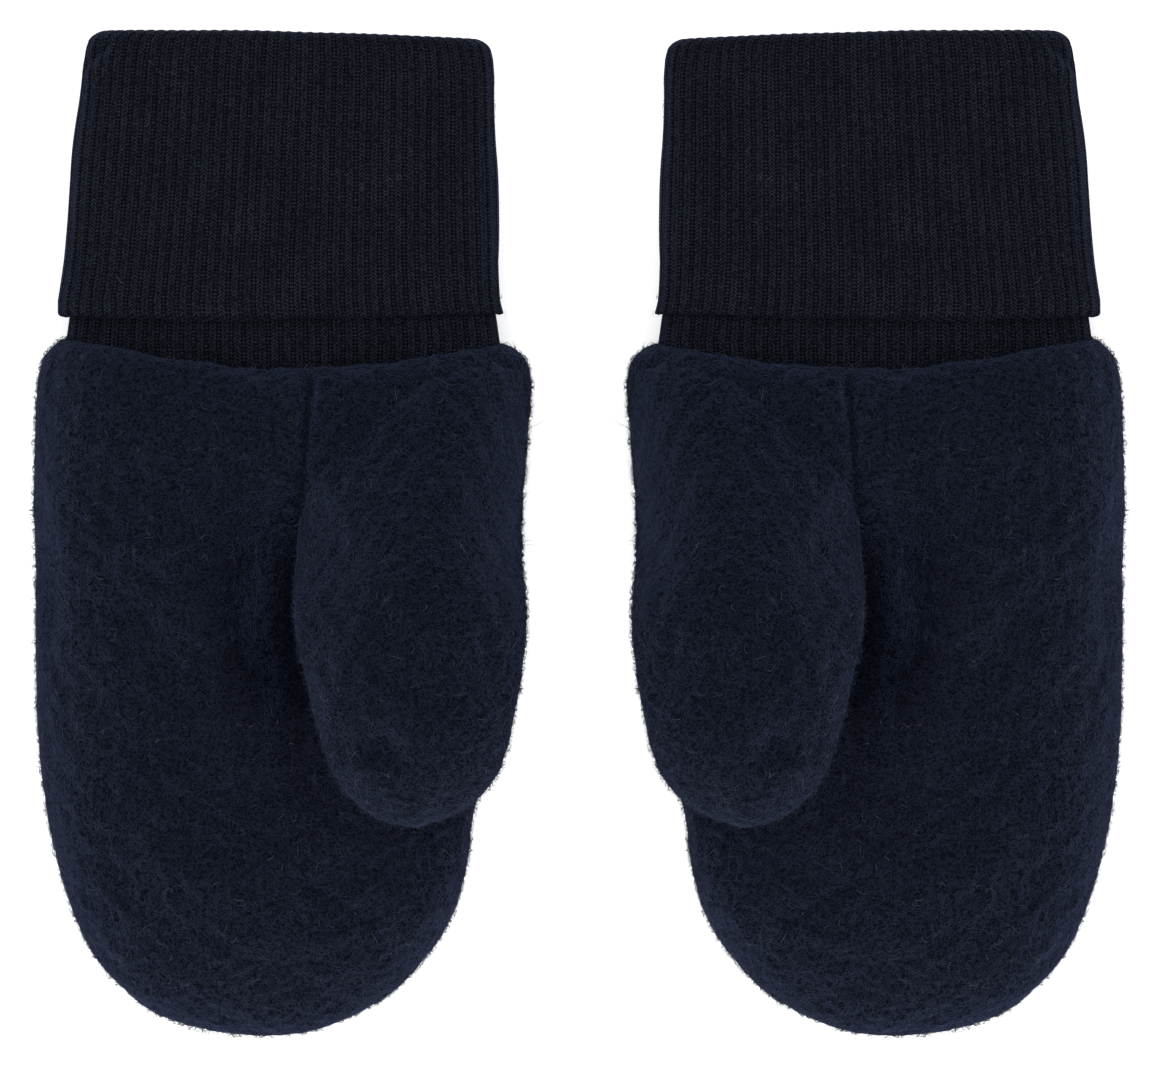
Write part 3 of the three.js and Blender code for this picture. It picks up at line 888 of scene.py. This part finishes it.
FOLD_EDGE = 0.6  # how far the round of the lower fold reaches up the cuff


def cuff_size(rows, y):
    rows = np.array(rows)
    return [np.interp(y, rows[:, 0], rows[:, k]) for k in range(1, 5)]


def cuff_grid(rows, profile, angles, turned):
    """Rib tube points; profile rows are y and inset from the outline's surface."""
    y, inset = np.array(profile).T
    left, right, bottom, top = cuff_size(rows, y)
    half, high = (right - left) / 2 - inset, (top - bottom) / 2 - inset
    across = signed_power(np.cos(angles), 2 / CUFF_SQUARENESS)
    rise = signed_power(np.sin(angles), 2 / CUFF_SQUARENESS)
    x = ((left + right) / 2)[:, None] + half[:, None] * across
    z = ((top + bottom) / 2)[:, None] + high[:, None] * rise
    up = ((y - CUFF_EDGE) / (CUFF_TOP - CUFF_EDGE))[:, None]
    shift = TOP_TILT * up * ((across + 1) / 2) ** 2 + EDGE_SAG * (1 - up) ** 2 * (1 - across**2)
    return np.stack([x, y[:, None] - (shift if turned else 0) + 0 * x, z], axis=2)


def rib_profile(wale):
    """Height of the rib across one repeat: a raised rib with a soft valley down its middle."""
    off = np.abs((wale % 1) - 0.5)
    crest = 0.5 + 0.5 * np.cos(np.clip(off / 0.40, 0, 1) * np.pi)
    return crest**0.5 - 0.22 * smooth_bump(off, 0.08) - 0.5


def cuff_angles():
    """Angles of the rib columns, spaced evenly round the cuff and starting at its inner edge."""
    dense = np.linspace(0, 2 * np.pi, 8000)
    left, right, bottom, top = cuff_size(CUFF_ROWS, CUFF_MIDDLE)
    points = superellipse(right - left, top - bottom, dense, CUFF_SQUARENESS)
    share = even_steps(points, WALES * WALE_COLUMNS + 1)
    return share[:-1] * 2 * np.pi


def corner_wrinkle(grid):
    """A small slanting fold near the outer top corner, on the face that lies uppermost."""
    x, y, z = grid[..., 0], grid[..., 1], grid[..., 2]
    from_corner, from_top = x + 35.5, y - CUFF_TOP + 5
    along = from_corner * 0.75 + from_top * 0.66
    across = -from_corner * 0.66 + from_top * 0.75
    ridge = 0.7 * smooth_bump(across, 0.9) - 0.4 * smooth_bump(across + 2, 1.2)
    return (z > 10) * smooth_bump(along, 4.5) * ridge


def rib_tube(name, side, rows, profile, relief, turned, seed):
    """A closed rib-knit tube: the profile is a loop of (y, inset), relief scales the ribs on it."""
    angles = cuff_angles()
    grid = cuff_grid(rows, profile, angles, turned)
    normals = grid_normals(np.concatenate([grid[-1:], grid, grid[:1]], axis=0))[1:-1]
    wale = np.arange(len(angles)) / WALE_COLUMNS
    swell = np.outer(relief, rib_profile(wale)) * RIB_DEPTH
    slack = 0.28 * ripple(grid.reshape(-1, 3), 26, seed).reshape(swell.shape)
    if turned:
        slack += corner_wrinkle(grid)
    grid = grid + normals * (swell + slack * np.minimum(relief, 1)[:, None])[..., None]
    grid[..., 2] = np.maximum(grid[..., 2], 0.02)
    height, columns = grid.shape[:2]
    quads = grid_quads(height, columns, wrap_rows=True, wrap_columns=True)[:, ::-1]
    points = grid.reshape(-1, 3)
    # painted shade on the round of the turned-down cuff's lower fold
    pressed = np.repeat([y < CUFF_EDGE + FOLD_EDGE and turned for y, _ in profile], columns)
    obj = mesh_object(name, points, [quads], side, [RIB_MATERIAL], points, pressed=pressed)
    store_knit(obj, profile, columns, side)
    return obj


def store_knit(obj, profile, columns, side):
    """Wale and course numbers at each face corner, for the stitch pattern."""
    steps = np.linalg.norm(np.diff(np.array(profile), axis=0), axis=1)
    along = np.concatenate([[0], np.cumsum(steps)]) / COURSE
    r, c = np.divmod(np.arange(len(profile) * columns), columns)
    wale = np.stack([c, c + 1, c + 1, c], axis=1) / WALE_COLUMNS
    next_course = np.append(along[1:], along[-1] + 1)
    course = np.stack([along[r], along[r], next_course[r], next_course[r]], axis=1)
    if side == "left":
        wale, course = wale[:, ::-1], course[:, ::-1]
    store(obj.data, "wale", "FLOAT", "CORNER", wale)
    store(obj.data, "course", "FLOAT", "CORNER", course)


def arc(centre_y, centre_inset, radius_y, radius_inset, start, end, count):
    """Profile points round a fold, from the start to the end angle in degrees."""
    turns = np.radians(np.linspace(start, end, count))
    y = [centre_y + radius_y * math.sin(a) for a in turns]
    inset = [centre_inset - radius_inset * math.cos(a) for a in turns]
    return list(zip(y, inset))


def run(y_start, y_end, inset, spacing):
    """Profile points along a straight stretch."""
    count = max(2, int(abs(y_end - y_start) / spacing))
    return [(y, inset) for y in np.linspace(y_start, y_end, count)]


def turnback_profile():
    """Lower fold, outer face, top fold and mouth, then back down the hidden inner face."""
    loop = arc(CUFF_EDGE + FOLD_EDGE, 1.0, FOLD_EDGE, 1.0, -150, 0, 8)[:-1]
    loop += run(CUFF_EDGE + FOLD_EDGE, CUFF_TOP - 1.9, 0.0, 0.47)
    folded_from = len(loop)
    loop += arc(CUFF_TOP - 1.9, 2.1, 1.9, 2.1, 0, 180, 15)[1:]
    shown = len(loop)
    loop += [(CUFF_TOP - 2.3, 3.2), (CUFF_TOP - 2.3, 2.1)]
    loop += run(CUFF_TOP - 3.5, CUFF_EDGE + 2.0, 2.0, 3.0)
    relief = np.ones(len(loop))
    relief[folded_from:shown] = 0.45
    relief[shown:] = 0.0
    return loop, np.convolve(np.pad(relief, 2, mode="wrap"), np.ones(5) / 5, mode="valid")


def stem_profile():
    """Outer face from inside the fleece to the top edge, then down the inner face."""
    top = STEM_TOP - 0.3
    loop = run(STEM_START, top - 0.9, 0.0, 0.55)
    loop += arc(top - 0.9, 0.9, 0.9, 0.9, 0, 180, 9)[1:]
    loop += run(top - 1.5, 31.0, 1.8, 1.6)
    return loop, np.full(len(loop), 0.6)


def make_cuffs(side):
    """The standing cuff and its turned-down outer half, each a folded sheet of rib knit."""
    turnback = rib_tube(f"{side}_rib_turnback", side, CUFF_ROWS, *turnback_profile(), True, 61)
    attach(turnback, side, "cuff_turnback", ["cuff_turnback"])
    stem = rib_tube(f"{side}_rib_stem", side, STEM_ROWS, *stem_profile(), False, 62)
    attach(stem, side, "mitten", ["cuff_stem"])


def make_cuff_fuzz(side):
    """A thin scatter of loose hairs on the rib knit."""
    angles = cuff_angles()
    profile = run(CUFF_EDGE + 0.5, CUFF_TOP - 1.0, 0.0, 1.0)
    grid = cuff_grid(CUFF_ROWS, profile, angles, True)
    rng = np.random.default_rng(81)
    short = curly_fibres(grid, 1500, rng, 1.3, 0.35, 0.8, 0.035, 5)
    long = curly_fibres(grid, 60, rng, 3.2, 0.5, 0.9, 0.04, 10)
    obj = fuzz_object(f"{side}_cuff_fuzz", side, [(short, NAP_SHADES), (long, NAP_SHADES)], rng)
    attach(obj, side, "cuff_turnback", [])


# ---- seams and linings


FREE_THUMB_START = -8  # y where the seam round the free thumb begins
STITCH = 1.7  # length of one stitch
THREAD = 0.15  # radius of the sewing thread
CREASE_FLOOR = 15.2  # the crease seam stays above this, where the palm dips under the thumb


def swept_tube(path, radius, sides=6):
    """Closed round tube along a path of points."""
    heading = np.gradient(path, axis=0)
    heading /= np.linalg.norm(heading, axis=1)[:, None]
    side = np.cross(heading, (0, 0, 1.0))
    side /= np.linalg.norm(side, axis=1)[:, None]
    up = np.cross(side, heading)
    turns = 2 * np.pi * np.arange(sides) / sides
    ring = side[:, None] * np.cos(turns)[None, :, None] + up[:, None] * np.sin(turns)[None, :, None]
    points = (path[:, None] + radius * ring).reshape(-1, 3)
    quads = grid_quads(len(path), sides, wrap_columns=True)
    caps = np.array([np.arange(sides)[::-1], np.arange(sides) + (len(path) - 1) * sides])
    return points, [quads[:, ::-1], caps[:, ::-1]]


def edge_path(grid, inward):
    """Path round a panel's edge, from the cuff down one side, round the tip and back up."""
    path = np.concatenate([grid[:, 0], grid[::-1, -1]])
    pull = path.mean(0) - path
    pull[:, 2] = 0
    pull /= np.linalg.norm(pull, axis=1)[:, None] + 1e-9
    return path + pull * inward


def stitched(path, direction):
    """A thread that zigzags about the path, swinging along the given direction."""
    stitches = int(np.linalg.norm(np.diff(path, axis=0), axis=1).sum() / STITCH)
    share = even_steps(path, stitches * 4)
    spots = share * (len(path) - 1)
    thread = spline(path, spots)
    return thread + np.sin(np.arange(len(thread)) * np.pi / 2)[:, None] * np.array(direction)


def make_seam(label, side, path, direction, part, node):
    """One zigzag thread along a path."""
    points, faces = swept_tube(stitched(path, direction), THREAD)
    obj = mesh_object(f"{side}_{label}", points, faces, side, [THREAD_MATERIAL], points)
    attach(obj, side, part, [node])


def crease_path():
    """The sewn line beside the thumb's base, lying in its crease."""
    palm = HAND_PALM[0].reshape(-1, 3)
    y = np.linspace(31.5, -2.0, 40)
    x = CREASE_X + (y - CREASE_Y) * CREASE_LEAN
    nearest = [np.hypot(palm[:, 0] - a, palm[:, 1] - b).argmin() for a, b in zip(x, y)]
    return np.stack([x, y, np.maximum(palm[nearest, 2], CREASE_FLOOR)], axis=1)


def cuff_ring():
    """The line where the fleece meets the standing cuff."""
    angles = np.linspace(0, 2 * np.pi, 400)[:-1]
    return pillow(HAND, np.array([0.0]), angles, 0.15)[0]


def make_seams(side):
    """Zigzag threads, sunk in the grooves where the panels meet."""
    hand = edge_path(HAND_PALM[0], 0.45)
    make_seam("hand_seam_thread", side, hand, (0, 0, 0.5), "mitten", "hand_seam")
    free = THUMB_FRONT[0][THUMB_FRONT[0][:, 0, 1] < FREE_THUMB_START]
    thumb = edge_path(free, 0.45)
    make_seam("thumb_seam_thread", side, thumb, (0, 0, 0.5), "thumb_fold", "thumb_seam")
    crease = crease_path()
    make_seam("palm_thumb_seam_thread", side, crease, (0.4, 0, 0), "mitten", "palm_thumb_seam")
    make_seam("cuff_overlock", side, cuff_ring(), (0, 0.55, 0), "mitten", "cuff_seam")


def bag_mesh(form):
    """A thin lining bag inside the form, closed at the tip and open at the first row."""
    t = station_parameters(form["rows"], LINING_GRAIN)[:-2]
    angles = np.linspace(0, 2 * np.pi, 72, endpoint=False)
    outer = pillow(form, t, angles, LINING_INSET)
    inner = pillow(form, t, angles, LINING_INSET + LINING)
    stations, columns = outer.shape[:2]
    points = np.concatenate([outer[::-1], inner]).reshape(-1, 3)
    quads = grid_quads(2 * stations, columns, wrap_columns=True)
    tip = np.arange(columns)[None]
    end = tip + (2 * stations - 1) * columns
    return points, [quads[:, ::-1], tip, end[:, ::-1]]


def make_linings(side):
    """Thin jersey bags inside the hand and the thumb."""
    thumb = {**THUMB, "rows": THUMB_ROWS[4:], "swell": None}
    for label, form, part, node, fleece in (
        ("hand_lining_bag", HAND, "mitten", "hand_lining", "back_fleece"),
        ("thumb_lining_bag", thumb, "thumb_fold", "thumb_lining", "thumb_front_fleece"),
    ):
        points, faces = bag_mesh(form)
        obj = mesh_object(f"{side}_{label}", points, faces, side, [JERSEY_MATERIAL], points)
        attach(obj, side, part, [node])


for each_side in SIDES:
    make_fleece(each_side)
    make_fuzz(each_side)
    make_linings(each_side)
    make_cuffs(each_side)
    make_cuff_fuzz(each_side)
    make_seams(each_side)

# ---- stage, light and camera


def make_stage():
    bpy.ops.mesh.primitive_plane_add(size=6, location=(0, 0, -0.0001))
    floor = bpy.context.active_object
    floor.name = "studio_floor"
    floor.data.materials.append(floor_material())
    world = bpy.data.worlds.new("soft_studio")
    bpy.context.scene.world = world
    world.use_nodes = True
    background = world.node_tree.nodes["Background"]
    background.inputs["Color"].default_value = (0.97, 0.98, 1.0, 1)
    background.inputs["Strength"].default_value = 0.95


def softbox(name, place, target, size, power):
    light = bpy.data.lights.new(name, "AREA")
    light.shape = "RECTANGLE"
    light.size, light.size_y = size
    light.energy = power
    obj = add_to_scene(name, light)
    obj.location = place
    obj.rotation_euler = (Vector(target) - Vector(place)).to_track_quat("-Z", "Y").to_euler()


VIEW_WIDTH = 219.3  # what the frame takes in at the height of the view plane, mm
VIEW_PLANE = 12  # height of that plane, mm


def make_camera():
    """Straight above the pair with a long lens."""
    camera = bpy.data.cameras.new("camera")
    camera.lens = 200
    camera.sensor_width = 36
    obj = add_to_scene("camera", camera)
    distance = VIEW_WIDTH * MM * camera.lens / camera.sensor_width
    obj.location = (-0.0004, -0.0002, VIEW_PLANE * MM + distance)
    camera.clip_end = 20
    bpy.context.scene.camera = obj


make_stage()
softbox("key_softbox", (0.0, -1.4, 0.42), (0, 0, 0), (1.6, 0.6), 20.0)
softbox("fill_softbox", (0.0, 0.9, 1.3), (0, 0, 0), (1.2, 0.8), 3.0)
make_camera()
bpy.context.scene.view_settings.view_transform = "Standard"
